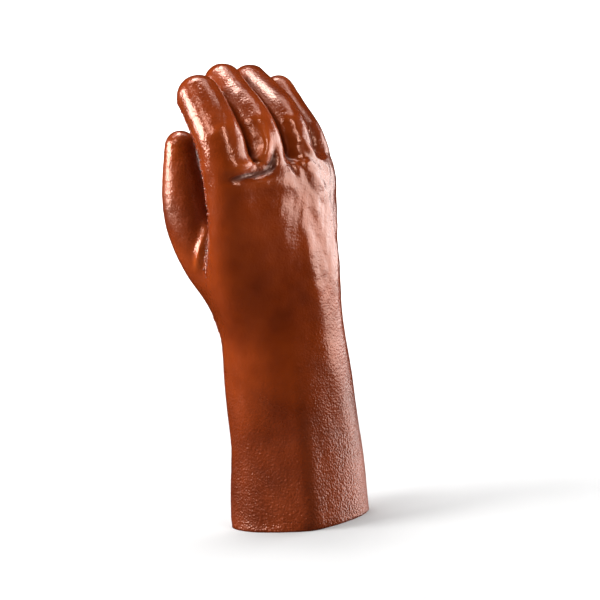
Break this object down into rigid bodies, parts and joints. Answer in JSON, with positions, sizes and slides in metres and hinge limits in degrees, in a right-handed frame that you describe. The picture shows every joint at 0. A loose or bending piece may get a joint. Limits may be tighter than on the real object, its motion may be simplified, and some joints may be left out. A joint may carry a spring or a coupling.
{
  "type": "work glove",
  "caption": "long plastic-dipped work glove for the right hand, fingers half curled, thumb raised, hollow and open at the flared cuff on which it stands",
  "frame": {"origin": "middle of the part's footprint box, on the plane of the cuff's rim", "axes": "+Z from the rim to the fingertips, +X from the thumb side to the little-finger side, +Y from the back of the hand to the palm"},
  "size_m": [0.1246, 0.0936, 0.3257],
  "materials": {
    "pvc_coating": "glossy dipped PVC, smooth on the back, granular on the palm"
  },
  "bodies": {
    "root": {"glove_shell": "pvc_coating"}
  },
  "joints": []
}
